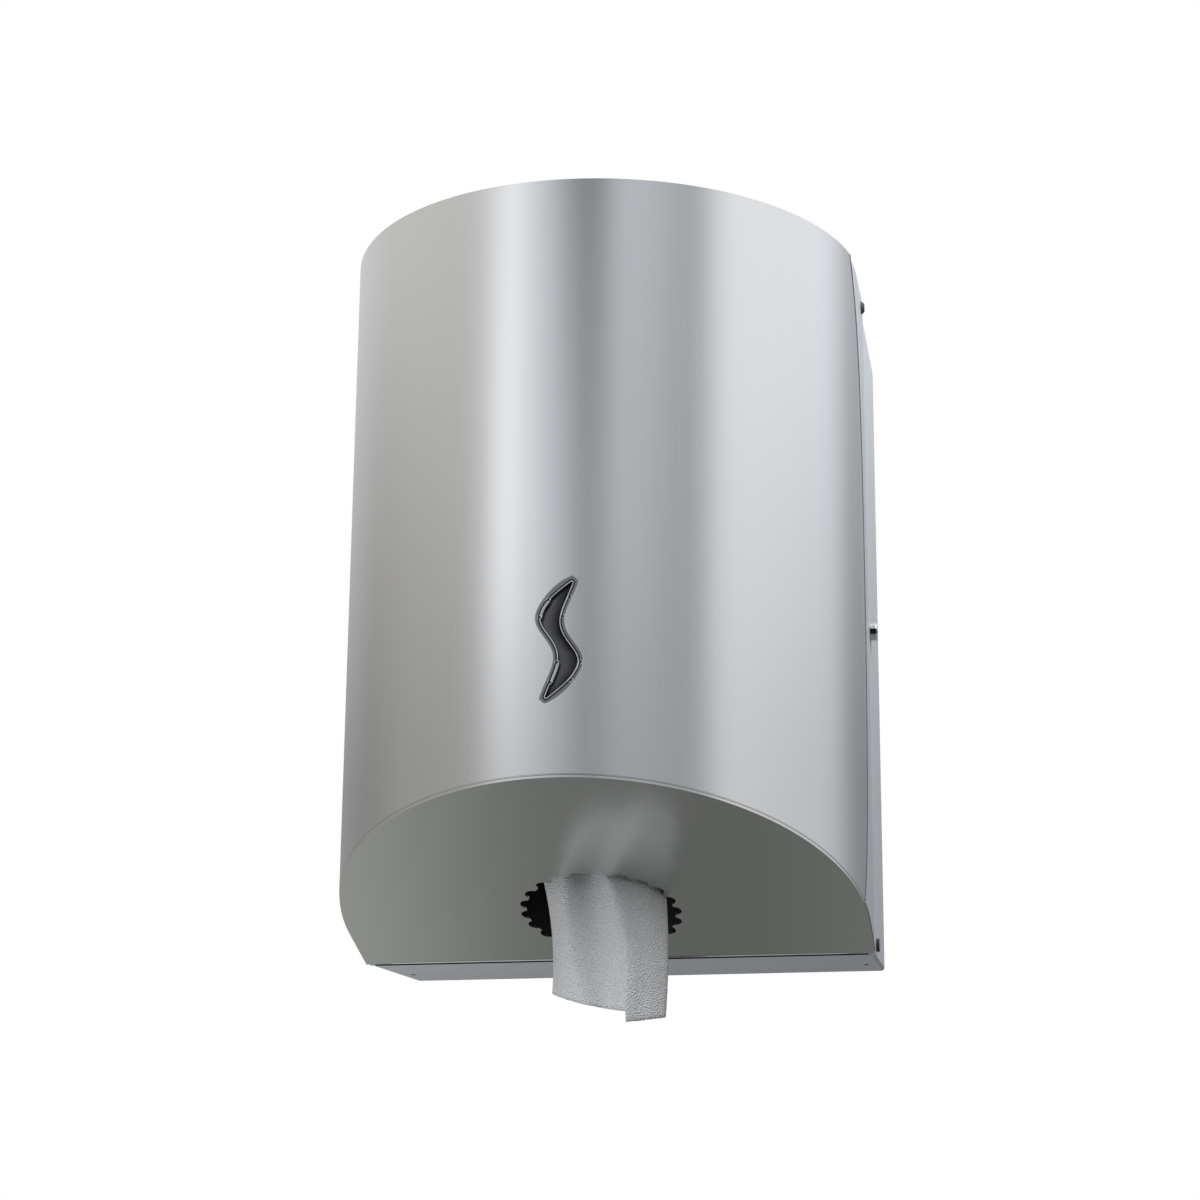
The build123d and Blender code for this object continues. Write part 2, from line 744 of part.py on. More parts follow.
with BuildPart() as platform_chute:
    with BuildSketch(Plane.XY.offset(bottom)):
        with Locations(outlet_place):
            Circle(chute_radius + chute_wall)
    extrude(amount=platform_rise)
    with BuildSketch(Plane.YZ):
        add(below_underside(sheet_rise))
    extrude(amount=cover_width, both=True, mode=Mode.SUBTRACT)

with BuildPart() as roll_platform:
    with BuildSketch(Plane.XY.offset(platform_z)):
        add(cover_plan(platform_half_width, roll_rear_gap - platform_rear_lap))
    extrude(amount=platform_wall)
    with BuildSketch(Plane.XY.offset(roll_z)):
        with Locations(outlet_place):
            with PolarLocations(roll_radius + stop_gap + stop_wall / 2, stop_count, start_angle=stop_angle):
                Rectangle(stop_wall, stop_width)
    extrude(amount=stop_height)
    add(platform_chute.part)
    with BuildSketch(Plane.XY.offset(bottom - cut_over)):
        with Locations(outlet_place):
            Circle(chute_radius)
    extrude(amount=platform_rise + platform_wall + 2 * cut_over, mode=Mode.SUBTRACT)
    with BuildSketch(Plane.XY.offset(platform_z)):
        with Locations(screw_places):
            RegularPolygon(screw_shank_radius, pilot_sides, major_radius=False)
    extrude(amount=screw_bite, mode=Mode.SUBTRACT)
finish(roll_platform, "roll_platform")

# Screws driven up through the arms' shelves into the platform
with BuildPart() as platform_screws:
    with BuildSketch(Plane.XY.offset(arm_top - arm_sheet - screw_head_height)):
        with Locations(screw_places):
            RegularPolygon(screw_head_radius, screw_head_sides)
    extrude(amount=screw_head_height)
    with BuildSketch(Plane.XY.offset(arm_top - arm_sheet)):
        with Locations(screw_places):
            Circle(screw_shank_radius)
    extrude(amount=arm_sheet + screw_bite)
finish(platform_screws, "platform_screws")

# Keeper: strip on the right cheek with a hook behind the lock's cam
hook_front = cam_width / 2 + keeper_cam_gap - lock_depth
hook_inner = seat_end - keeper_cam_lap
with BuildPart() as lock_keeper:
    with BuildSketch(Plane.XY.offset(lock_z + keeper_low_rise)):
        with BuildLine():
            Polyline(
                (keeper_face, -base_depth - keeper_reach),
                (keeper_face, hook_front + keeper_sheet),
                (hook_inner, hook_front + keeper_sheet),
                (hook_inner, hook_front),
                (keeper_face - keeper_sheet, hook_front),
                (keeper_face - keeper_sheet, -base_depth - keeper_reach),
                close=True,
            )
        make_face()
    extrude(amount=keeper_height)
    with BuildSketch(side_plane(keeper_face)):
        with Locations(keeper_screw_places):
            Circle(keeper_screw_radius)
    extrude(amount=-keeper_sheet, mode=Mode.SUBTRACT)
finish(lock_keeper, "lock_keeper")

with BuildPart() as keeper_screws:
    with BuildSketch(side_plane(keeper_face - keeper_sheet)):
        with Locations(keeper_screw_places):
            RegularPolygon(keeper_screw_head_radius, screw_head_sides)
    extrude(amount=-keeper_screw_head_height)
    with BuildSketch(side_plane(keeper_face - keeper_sheet)):
        with Locations(keeper_screw_places):
            Circle(keeper_screw_radius)
    extrude(amount=keeper_sheet + frame_inner - keeper_face + keeper_screw_bite)
finish(keeper_screws, "keeper_screws")

# Catch studs in the cheeks' top corners
with BuildPart() as catch_studs:
    with BuildSketch(side_plane(side_face)):
        with Locations((-stud_depth, stud_z)):
            Circle(stud_head_radius)
    extrude(amount=stud_head_height, taper=stud_taper)
    with BuildSketch(side_plane(frame_inner - stud_nub)):
        with Locations((-stud_depth, stud_z)):
            Circle(stud_shank_radius)
    extrude(amount=frame_wall + stud_nub)
    mirror(about=Plane.YZ)
finish(catch_studs, "catch_studs")

# Paper roll with an open centre
with BuildPart() as paper_roll:
    with BuildSketch(Plane.XY.offset(roll_z)):
        with Locations(outlet_place):
            Circle(roll_radius)
            Circle(core_radius, mode=Mode.SUBTRACT)
    extrude(amount=roll_height)
finish(paper_roll, "paper_roll")

# Paper tail: the strip hangs in folded layers, each an arc about the outlet, joined by creased turns
tail_sweep = tail_left_angle + tail_right_angle
tail_start = 270 - tail_left_angle
tail_end = 270 + tail_right_angle
tail_top = roll_z + tail_rise
tail_fold_x = tail_radius * tail_fold_share

with BuildPart() as paper_tail:
    with BuildSketch(Plane.XY.offset(tail_top)):
        with BuildLine():
            for layer in range(tail_layers):
                CenterArc(outlet_place, tail_radius - layer * tail_layer_pitch, tail_start, tail_sweep)
        trace(line_width=tail_thickness)
        for turn in range(tail_layers - 1):
            outer = tail_radius - turn * tail_layer_pitch + tail_thickness / 2
            inner = outer - tail_layer_pitch - tail_thickness
            middle = (outer + inner) / 2
            bend, way = (tail_end, 1) if turn % 2 == 0 else (tail_start, -1)
            crease = [
                (outer, 0),
                (middle, way * tail_crease),
                (inner, 0),
                (inner + tail_thickness, 0),
                (middle, way * (tail_crease - tail_thickness)),
                (outer - tail_thickness, 0),
            ]
            corners = [Vector(*place).rotate(Axis.Z, bend) + Vector(*outlet_place) for place in crease]
            with BuildLine():
                Polyline(*corners, close=True)
            make_face()
    extrude(amount=bottom - tail_right_drop - tail_top)
    with BuildSketch(Plane.XZ.offset(outlet_depth - tail_radius)):
        with BuildLine():
            Polyline(
                (-cover_radius, bottom - tail_left_drop),
                (-tail_radius, bottom - tail_left_drop),
                (tail_fold_x, bottom - tail_fold_drop),
                (tail_fold_x, bottom - tail_right_drop - cut_over),
                (-cover_radius, bottom - tail_right_drop - cut_over),
                close=True,
            )
        make_face()
    extrude(amount=cover_radius, mode=Mode.SUBTRACT)
finish(paper_tail, "paper_tail")
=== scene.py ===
import math

import bmesh
import bpy
from mathutils import Matrix, Vector, noise


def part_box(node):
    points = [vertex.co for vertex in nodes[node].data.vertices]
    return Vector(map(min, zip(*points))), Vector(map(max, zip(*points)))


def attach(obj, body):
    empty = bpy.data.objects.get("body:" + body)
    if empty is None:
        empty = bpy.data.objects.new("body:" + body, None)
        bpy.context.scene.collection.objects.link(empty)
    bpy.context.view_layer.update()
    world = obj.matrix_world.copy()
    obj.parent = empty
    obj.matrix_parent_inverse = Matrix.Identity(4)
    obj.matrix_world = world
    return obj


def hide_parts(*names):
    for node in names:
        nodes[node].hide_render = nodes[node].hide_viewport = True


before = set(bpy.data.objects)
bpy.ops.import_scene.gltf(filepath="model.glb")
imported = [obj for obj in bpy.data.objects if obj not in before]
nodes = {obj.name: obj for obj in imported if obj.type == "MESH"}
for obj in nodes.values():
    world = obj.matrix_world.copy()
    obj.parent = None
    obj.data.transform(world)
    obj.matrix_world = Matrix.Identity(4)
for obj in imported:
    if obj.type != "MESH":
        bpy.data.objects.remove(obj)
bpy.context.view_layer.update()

# Back tray: one injection moulding in cool grey plastic, screwed to the wall through four pads.
# Its faces have the fine grain of a spark-eroded mould; the drain holes and the floor's front lip in the gap
# under the cover are darkened with painted shade. Two stiff ears, moulded on at the top corners, reach
# forward into the cover.
mm = 0.001
tray_grey = (0.55, 0.578, 0.622, 1)
tray_roughness = 0.46
grain_pitch = 1 / (0.45 * mm)
grain_depth = 0.02 * mm
grain_strength = 0.35
mottle_scale, mottle_tone, mottle_polish = 22.0, 0.06, 0.25
lip_front, lip_top = -84.5 * mm, -150 * mm
lip_shade_fade = (0.5 * mm, 0.2 * mm)
drain_spot = (121 * mm, -35 * mm, 0)
drain_stretch = (1, 0.5, 0)
drain_radius = 1.25 * mm
drain_shade_fade = (0.15 * mm, 0.05 * mm)
shadow_grey = (0.012, 0.012, 0.013, 1)
ear_outline = [(-97.1, 163.6), (-97.1, 157), (-86, 151), (-60, 151), (-60, 163.6)]
ear_faces = (123.2, 125.4)
root_outline = [(-79, 163.4), (-79, 151.5), (-60.5, 151.5), (-60.5, 163.4)]
root_faces = (125, 127)
ear_edge = 0.3 * mm


def shaded(name, **constants):
    """A material with a Principled shader, whose constants go on the shader's own sockets."""
    material = bpy.data.materials.new(name)
    material.use_nodes = True
    tree = material.node_tree
    shader = tree.nodes["Principled BSDF"]
    for socket, value in constants.items():
        shader.inputs[socket.replace("_", " ")].default_value = value
    return material, tree, shader


def place(tree, kind, inputs=None, **options):
    """Adds a shader node with its options, and fills or links its inputs."""
    made = tree.nodes.new("ShaderNode" + kind)
    for option, value in options.items():
        setattr(made, option, value)
    for socket, value in (inputs or {}).items():
        if isinstance(value, bpy.types.NodeSocket):
            tree.links.new(value, made.inputs[socket])
        else:
            made.inputs[socket].default_value = value
    return made


def number(tree, operation, *values):
    """The result of an operation on numbers."""
    return place(tree, "Math", dict(enumerate(values)), operation=operation).outputs[0]


def vector(tree, operation, *values):
    """The result of an operation on vectors, which is a number only for LENGTH."""
    made = place(tree, "VectorMath", dict(enumerate(values)), operation=operation)
    return made.outputs["Value" if operation == "LENGTH" else "Vector"]


def scaled(tree, colour, factor):
    """A colour or a vector times a number."""
    return place(tree, "VectorMath", {0: colour, "Scale": factor}, operation="SCALE").outputs[0]


def ranged(tree, value, start, end, low=0.0, high=1.0, **options):
    """A value brought from start and end to low and high, and held there beyond them."""
    limits = {"From Min": start, "From Max": end, "To Min": low, "To Max": high}
    return place(tree, "MapRange", {"Value": value, **limits}, **options).outputs[0]


def blend(tree, share, a, b, kind="RGBA"):
    """A mix from a to b."""
    return place(tree, "Mix", {"Factor": share, "A": a, "B": b}, data_type=kind).outputs["Result"]


def object_spot(tree):
    """Where a shaded point lies on the part."""
    return place(tree, "TexCoord").outputs["Object"]


def cloudy(tree, where, scale, detail, output="Fac", **more):
    """A soft noise about one half."""
    inputs = {"Vector": where, "Scale": scale, "Detail": detail, **more}
    return place(tree, "TexNoise", inputs).outputs[output]


def join(tree, source, target):
    """Links two sockets."""
    tree.links.new(source, target)


def effect(name, inputs):
    """A shader node group that puts out a colour, a roughness and a height, with its end sockets."""
    group = bpy.data.node_groups.new(name, "ShaderNodeTree")
    for label, kind, value in inputs:
        socket = group.interface.new_socket(label, in_out="INPUT", socket_type="NodeSocket" + kind)
        socket.default_value = value
    for label, kind in (("Colour", "Color"), ("Roughness", "Float"), ("Height", "Float")):
        group.interface.new_socket(label, in_out="OUTPUT", socket_type="NodeSocket" + kind)
    given, result = group.nodes.new("NodeGroupInput"), group.nodes.new("NodeGroupOutput")
    return group, given.outputs, result.inputs


def grained(name, group, settings, strength, depth, **constants):
    """A material whose colour, roughness and bump come from a group."""
    material, tree, shader = shaded(name, **constants)
    grain = place(tree, "Group", settings, node_tree=group).outputs
    bump = place(tree, "Bump", {"Strength": strength, "Distance": depth, "Height": grain["Height"]})
    join(tree, grain["Colour"], shader.inputs["Base Color"])
    join(tree, grain["Roughness"], shader.inputs["Roughness"])
    join(tree, bump.outputs[0], shader.inputs["Normal"])
    return material


mould_grain, given, result = effect("mould_grain", [
    ("Colour", "Color", tray_grey), ("Roughness", "Float", tray_roughness),
    ("Pitch", "Float", grain_pitch)])
where = object_spot(mould_grain)
fine = cloudy(mould_grain, where, given["Pitch"], detail=2.0)
swing = number(mould_grain, "SUBTRACT", cloudy(mould_grain, where, mottle_scale, detail=4.0), 0.5)
tone = number(mould_grain, "MULTIPLY_ADD", swing, mottle_tone, 1.0)
uneven = number(mould_grain, "MULTIPLY_ADD", swing, mottle_polish, given["Roughness"])
join(mould_grain, scaled(mould_grain, given["Colour"], tone), result["Colour"])
join(mould_grain, uneven, result["Roughness"])
join(mould_grain, fine, result["Height"])


def moulding(name, colour, roughness, pitch=grain_pitch, depth=grain_depth):
    """Moulded plastic with the mould's grain."""
    settings = {"Colour": colour, "Roughness": roughness, "Pitch": pitch}
    return grained(name, mould_grain, settings, grain_strength, depth)


def reopened(material):
    """A material's tree, colour socket, what feeds that socket, and the X, Y and Z of a shaded point."""
    tree = material.node_tree
    colour = tree.nodes["Principled BSDF"].inputs["Base Color"]
    spot = place(tree, "SeparateXYZ", {0: object_spot(tree)}).outputs
    return tree, colour, colour.links[0].from_socket, spot


def dress(material, *names):
    """Gives CAD nodes their finish."""
    for name in names:
        nodes[name].data.materials.clear()
        nodes[name].data.materials.append(material)


def bevelled(shell, edges, width, segments):
    """Rounds the edges of a mesh."""
    bmesh.ops.bevel(shell, geom=edges, offset=width, offset_type="OFFSET", segments=segments,
                    profile=0.5, affect="EDGES", material=-1)


def made_object(name, shell, material):
    """An object at the origin with a finished mesh."""
    mesh = bpy.data.meshes.new(name)
    shell.to_mesh(mesh)
    shell.free()
    mesh.materials.append(material)
    made = bpy.data.objects.new(name, mesh)
    bpy.context.scene.collection.objects.link(made)
    return made


def piece(name, shell, material, body, slot, *stands_for, smooth=35):
    """Makes a finished mesh a piece that rides on a body."""
    bmesh.ops.recalc_face_normals(shell, faces=shell.faces)
    made = made_object(name, shell, material)
    made.data.polygons.foreach_set("use_smooth", [True] * len(made.data.polygons))
    made.data.set_sharp_from_angle(angle=math.radians(smooth))
    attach(made, body)
    if stands_for:
        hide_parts(*stands_for)
    return made


grey_tray = moulding("grey_tray", tray_grey, tray_roughness)
tree, colour, clean, spot = reopened(grey_tray)
# Painted shade: low down, the floor's front lip and the drain holes, with a little round them, are mixed to
# shadow grey.
lip = ranged(tree, spot["Y"], lip_front + lip_shade_fade[0], lip_front + lip_shade_fade[1])
either_side = number(tree, "ABSOLUTE", spot["X"])
in_plan = place(tree, "CombineXYZ", {"X": either_side, "Y": spot["Y"]}).outputs[0]
apart = vector(tree, "MULTIPLY", vector(tree, "SUBTRACT", in_plan, drain_spot), drain_stretch)
apart = vector(tree, "LENGTH", apart)
hole = ranged(tree, apart, drain_radius + drain_shade_fade[0], drain_radius + drain_shade_fade[1])
low_down = number(tree, "LESS_THAN", spot["Z"], lip_top)
dark = number(tree, "MULTIPLY", number(tree, "MAXIMUM", lip, hole), low_down)
join(tree, blend(tree, dark, clean, shadow_grey), colour)
dress(grey_tray, "base_tray")

ears = bmesh.new()
for outline, (inner, outer) in ((ear_outline, ear_faces), (root_outline, root_faces)):
    for side in (mm, -mm):
        corners = [ears.verts.new((inner * side, y * mm, z * mm)) for y, z in outline]
        grown = bmesh.ops.extrude_face_region(ears, geom=[ears.faces.new(corners)])["geom"]
        far = [v for v in grown if isinstance(v, bmesh.types.BMVert)]
        bmesh.ops.translate(ears, verts=far, vec=((outer - inner) * side, 0, 0))
bevelled(ears, ears.edges[:], ear_edge, segments=2)
piece("catch_ears", ears, grey_tray, "base", "grey_moulding")

# Hinge bushes: black acetal sleeves pressed into the tray's bottom corners, where the cover's pins turn.
# They are smooth and slightly waxy, so they shine more than the tray around them.
bush_black = (0.018, 0.019, 0.021, 1)
bush_roughness = 0.22
dress(moulding("black_bush", bush_black, bush_roughness, depth=grain_depth / 2), "hinge_bushes")

# Key lock: a chromed barrel through the right wall, held by a washer and a nut inside the tray.
# Its head is bright above, black across the front and grey below, a painted reflection. The duller plug, with
# its key slot painted dark as shade, turns in it with a zinc-plated cam.
chrome_tone = (0.92, 0.925, 0.93, 1)
lock_y, lock_z = -66 * mm, -4 * mm
head_radius = 5 * mm
head_front = (lock_y - 1.2 * mm, lock_y - 1.8 * mm)
head_reflection_bands = [(0.05, 0.5), (0.25, 0.42), (0.31, 0.03), (0.54, 0.02), (0.59, 1.0)]
plug_tone = (0.56, 0.55, 0.53, 1)
slot_middle, slot_half = 125 * mm, 6.9 * mm
zinc_tone = (0.55, 0.56, 0.57, 1)
zinc_roughness, zinc_spangle, zinc_patches = 0.34, 500, 0.22
plating_strength, plating_depth = 0.12, 0.01 * mm

plated_skin, given, result = effect("plated_skin", [
    ("Colour", "Color", zinc_tone), ("Roughness", "Float", zinc_roughness),
    ("Spangle", "Float", zinc_spangle), ("Patchiness", "Float", zinc_patches)])
spangle = cloudy(plated_skin, object_spot(plated_skin), given["Spangle"], detail=3.0)
swing = number(plated_skin, "SUBTRACT", spangle, 0.5)
tone = number(plated_skin, "MULTIPLY_ADD", swing, given["Patchiness"], 1.0)
uneven = number(plated_skin, "MULTIPLY_ADD", swing, given["Patchiness"], given["Roughness"])
join(plated_skin, scaled(plated_skin, given["Colour"], tone), result["Colour"])
join(plated_skin, uneven, result["Roughness"])
join(plated_skin, spangle, result["Height"])


def plated(name, colour, roughness, spangle, patches):
    """Plated metal with the faint cloudiness of the bath."""
    settings = {"Colour": colour, "Roughness": roughness, "Spangle": spangle, "Patchiness": patches}
    return grained(name, plated_skin, settings, plating_strength, plating_depth, Metallic=1.0)


zinc_steel = plated("zinc_steel", zinc_tone, zinc_roughness, zinc_spangle, zinc_patches)
dress(zinc_steel, "lock_washer", "lock_nut", "lock_cam", "cam_screw")

barrel_chrome = plated("barrel_chrome", chrome_tone, roughness=0.05, spangle=900, patches=0.04)
tree, colour, clean, spot = reopened(barrel_chrome)
# Painted reflection: the front of the head is banded bright, black and grey by height, for what its chrome
# mirrors.
height = ranged(tree, spot["Z"], lock_z - head_radius, lock_z + head_radius)
reflection_curve = place(tree, "FloatCurve", {"Value": height})
for at, level in head_reflection_bands:
    reflection_curve.mapping.curves[0].points.new(at, level).handle_type = "VECTOR"
reflection_curve.mapping.update()
painted_reflection = blend(tree, ranged(tree, spot["Y"], *head_front), 1.0, reflection_curve.outputs[0], "FLOAT")
join(tree, scaled(tree, clean, painted_reflection), colour)
dress(barrel_chrome, "lock_barrel")

plug_chrome = plated("plug_chrome", plug_tone, roughness=0.16, spangle=900, patches=0.06)
tree, colour, clean, spot = reopened(plug_chrome)
# Painted shade: the key slot is mixed to shadow grey.
key_slot_shade = number(tree, "COMPARE", spot["X"], slot_middle, slot_half)
join(tree, blend(tree, key_slot_shade, clean, shadow_grey), colour)
dress(plug_chrome, "lock_plug")

# Cover frame: the grey moulded liner whose cheeks show behind the steel, with a level top panel.
# Same plastic as the tray, from a newer mould face, so its grain is finer; its grey is set darker than the
# tray's.
cheek_grey = (0.46, 0.487, 0.53, 1)
cheek_roughness = 0.42
cheek_pitch = grain_pitch * 1.3
dress(moulding("grey_cheeks", cheek_grey, cheek_roughness, cheek_pitch), "cover_frame")

# Steel skin: 1 mm stainless sheet rolled to a half round, with a fine upright satin grain.
# Long hairlines from the polishing belt run up it, and the cut edges are broken smooth.
steel_tone = (0.60, 0.605, 0.61, 1)
skin_stretch = (1500, 1500, 9)
skin_roughness = 0.22
hair_tone, hair_polish = 0.05, 0.06
haze_scale, haze_tone = 9.0, 0.04
satin_strength, satin_depth = 0.05, 0.01 * mm

satin_grain, given, result = effect("satin_grain", [
    ("Colour", "Color", steel_tone), ("Roughness", "Float", skin_roughness),
    ("Stretch", "Vector", skin_stretch)])
where = object_spot(satin_grain)
drawn = vector(satin_grain, "MULTIPLY", where, given["Stretch"])
hair = cloudy(satin_grain, drawn, scale=1.0, detail=3.0, Roughness=0.6)
swing = number(satin_grain, "SUBTRACT", hair, 0.5)
drift = number(satin_grain, "SUBTRACT", cloudy(satin_grain, where, haze_scale, detail=2.0), 0.5)
tone = number(satin_grain, "MULTIPLY_ADD", swing, hair_tone, 1.0)
tone = number(satin_grain, "MULTIPLY_ADD", drift, haze_tone, tone)
uneven = number(satin_grain, "MULTIPLY_ADD", swing, hair_polish, given["Roughness"])
join(satin_grain, scaled(satin_grain, given["Colour"], tone), result["Colour"])
join(satin_grain, uneven, result["Roughness"])
join(satin_grain, hair, result["Height"])


def satin(name, colour, roughness, stretch):
    """Satin stainless sheet with its grain drawn out along one way."""
    settings = {"Colour": colour, "Roughness": roughness, "Stretch": stretch}
    return grained(name, satin_grain, settings, satin_strength, satin_depth, Metallic=1.0)


satin_steel = satin("satin_steel", steel_tone, skin_roughness, skin_stretch)
dress(satin_steel, "cover_skin")

# Underside plate: the same sheet, laid with its grain from the wall to the front.
# It faces down, so it mirrors the floor and the tail of paper.
underside_tone = (0.60, 0.61, 0.595, 1)
underside_stretch = (1500, 9, 9)
underside_roughness = 0.23
dress(satin("underside_steel", underside_tone, underside_roughness, underside_stretch), "cover_underside")

# Sight lens: a smoky moulding let into the wave-shaped cut, with a level rim and a dark pan sunk behind it,
# painted black as shade near its right edge. A pale lip, painted as a highlight, runs round the pan with a
# black bead outside it as painted shade in the groove, and the four snap hooks show as bars across the lip,
# each with a notch at both ends shaded by a black bead.
axis_y = -120 * mm
lens_face = 129.8 * mm
lens_floor = 127.4 * mm
lens_ior = 1.49
lens_sheen = {"Specular_IOR_Level": 0.02, "Coat_IOR": 1.65, "Coat_Roughness": 0.13}
rim_smoke = (0.14, 0.145, 0.155, 1)
wall_smoke = (0.05, 0.052, 0.058, 1)
pan_smoke = (0.035, 0.036, 0.04, 1)
rim_fade = (lens_face - 0.4 * mm, lens_face - 0.2 * mm)
wall_fade = (lens_floor + 0.1 * mm, lens_floor + 0.3 * mm)
pan_shade_fade = (0.5 * mm, 6 * mm)
window_middle = Vector((1.8 * mm, -48 * mm))
window_half = Vector((11.15 * mm, 29.7 * mm))
pan_right = [(-0.92, -0.5), (-0.79, -0.06), (-0.61, 0.46), (-0.32, 0.8), (-0.08, 0.46), (0.26, 0.04),
             (0.58, 0.24), (0.89, 0.57)]
highlight_grey = (0.55, 0.56, 0.61, 1)
lip_radius = 0.21 * mm
shade_black = (0.006, 0.0065, 0.0075, 1)
groove_radius, groove_offset = 0.42 * mm, 0.65 * mm
edge_radius, edge_offset = 0.25 * mm, 0.1 * mm
hook_tone = (0.42, 0.43, 0.47, 1)
hook_radius = 0.6 * mm
hook_shift = Vector((0.4 * mm, 0))
hook_ends = [((-0.52, 0.64), (-0.78, 0.36)), ((0.32, 0.66), (0.1, 0.36)), ((0.52, -0.64), (0.78, -0.36)),
             ((-0.32, -0.66), (-0.1, -0.36))]
notch = 0.85 * mm
notch_radius, notch_half, notch_out = notch * 0.62, 0.6, 0.7
bracket_radius = lip_radius * 0.8
outline_spacing = 0.5 * mm
weld = 0.001 * mm
face_slack = 0.02 * mm


def radius_from(tree, axis):
    """How far a shaded point lies from an upright axis."""
    off_axis = vector(tree, "SUBTRACT", object_spot(tree), axis)
    return vector(tree, "LENGTH", vector(tree, "MULTIPLY", off_axis, (1, 1, 0)))


def hazed(tree, shader, scale, least, most):
    """Gives a surface an uneven polish."""
    haze = cloudy(tree, object_spot(tree), scale, detail=2.0)
    join(tree, ranged(tree, haze, 0.0, 1.0, least, most), shader.inputs["Roughness"])


def beading(name, colour, scale, least, most, **constants):
    """Plain plastic for a bead, with an uneven polish."""
    material, tree, shader = shaded(name, Base_Color=colour, **constants)
    hazed(tree, shader, scale, least, most)
    return material


def outlines_of(name, reach):
    """Closed lines round the face of a CAD node this far from the cover's axis, the longest first."""
    shell = bmesh.new()
    shell.from_mesh(nodes[name].data)
    bmesh.ops.remove_doubles(shell, verts=shell.verts, dist=weld)
    distance = {v: math.hypot(v.co.x, min(v.co.y - axis_y, 0)) for v in shell.verts}
    off = [f for f in shell.faces if max(abs(distance[v] - reach) for v in f.verts) > face_slack]
    bmesh.ops.delete(shell, geom=off, context="FACES")
    open_edges = [e for e in shell.edges if len(e.link_faces) == 1]
    lines = []
    while open_edges:
        came = open_edges.pop()
        start, walker = came.verts
        line = [start]
        while walker is not start:
            line.append(walker)
            came = next(e for e in walker.link_edges if e in open_edges)
            open_edges.remove(came)
            walker = came.other_vert(walker)
        points = [v.co.copy() for v in line]
        turn = sum(a.x * b.z - b.x * a.z for a, b in zip(points, points[1:] + points[:1]))
        lines.append(points if turn > 0 else points[::-1])
    shell.free()
    return sorted(lines, key=lambda line: sum((b - a).length for a, b in zip(line, line[1:])), reverse=True)


def even_points(points, spacing):
    """The outline with points at an even spacing."""
    ends = points[1:] + points[:1]
    lengths = [(b - a).length for a, b in zip(points, ends)]
    count = round(sum(lengths) / spacing)
    made, gone, at = [], 0.0, 0
    for k in range(count):
        want = k * sum(lengths) / count
        while gone + lengths[at] < want:
            gone += lengths[at]
            at += 1
        made.append(points[at].lerp(ends[at], (want - gone) / lengths[at]))
    return made


def stepped_out(points, distance):
    """The outline moved outwards by a distance."""
    moved = []
    for before, here, after in zip(points[-1:] + points[:-1], points, points[1:] + points[:1]):
        run = (after - before).normalized()
        moved.append(here + Vector((run.y, -run.x)) * distance)
    return moved


def between(line, a, b):
    """The shorter way along an outline from the point nearest a to that nearest b."""
    first, last = sorted(min(range(len(line)), key=lambda k: (line[k] - end).length) for end in (a, b))
    inner, outer = line[first:last + 1], line[last:] + line[:first + 1]
    return inner if len(inner) < len(outer) else outer


def wrapped(lines, reach):
    """Flat lines bent round the cover at a distance from its axis."""
    return [[(spot.x, axis_y - math.sqrt(reach**2 - spot.x**2), spot.y) for spot in line] for line in lines]


def cords(closed, lines, radius):
    """Round cords laid along lines."""
    curve = bpy.data.curves.new("cords", "CURVE")
    curve.dimensions = "3D"
    curve.bevel_depth = radius
    curve.bevel_resolution = 2
    curve.use_fill_caps = True
    for line in lines:
        spline = curve.splines.new("POLY")
        spline.points.add(len(line) - 1)
        for point, spot in zip(spline.points, line):
            point.co = (*spot, 1)
        spline.use_cyclic_u = closed
    drawn = bpy.data.objects.new("cords", curve)
    mesh = bpy.data.meshes.new_from_object(drawn)
    shell = bmesh.new()
    shell.from_mesh(mesh)
    bmesh.ops.remove_doubles(shell, verts=shell.verts, dist=weld)
    bpy.data.objects.remove(drawn)
    bpy.data.curves.remove(curve)
    bpy.data.meshes.remove(mesh)
    return shell


smoky_lens, tree, shader = shaded("smoky_lens", IOR=lens_ior, **lens_sheen)
reach = radius_from(tree, (0, axis_y, 0))
on_rim, on_wall = ranged(tree, reach, *rim_fade), ranged(tree, reach, *wall_fade)
spot = place(tree, "SeparateXYZ", {0: object_spot(tree)}).outputs
window_left, window_low = window_middle - window_half
window_right, window_high = window_middle + window_half
# Painted shade: near the pan's right edge its colour turns to black and its coat falls away.
right_edge = place(tree, "FloatCurve", {"Value": ranged(tree, spot["Z"], window_low, window_high)})
for at, side in pan_right:
    right_edge.mapping.curves[0].points.new((at + 1) / 2, (side + 1) / 2)
right_edge.mapping.update()
edge_x = ranged(tree, right_edge.outputs[0], 0.0, 1.0, window_left, window_right)
clear = ranged(tree, number(tree, "SUBTRACT", edge_x, spot["X"]), *pan_shade_fade)
smoke = blend(tree, on_wall, blend(tree, clear, shade_black, pan_smoke), wall_smoke)
join(tree, blend(tree, on_rim, smoke, rim_smoke), shader.inputs["Base Color"])
join(tree, number(tree, "MAXIMUM", clear, on_rim), shader.inputs["Coat Weight"])
hazed(tree, shader, scale=180.0, least=0.08, most=0.18)
dress(smoky_lens, "window_lens")

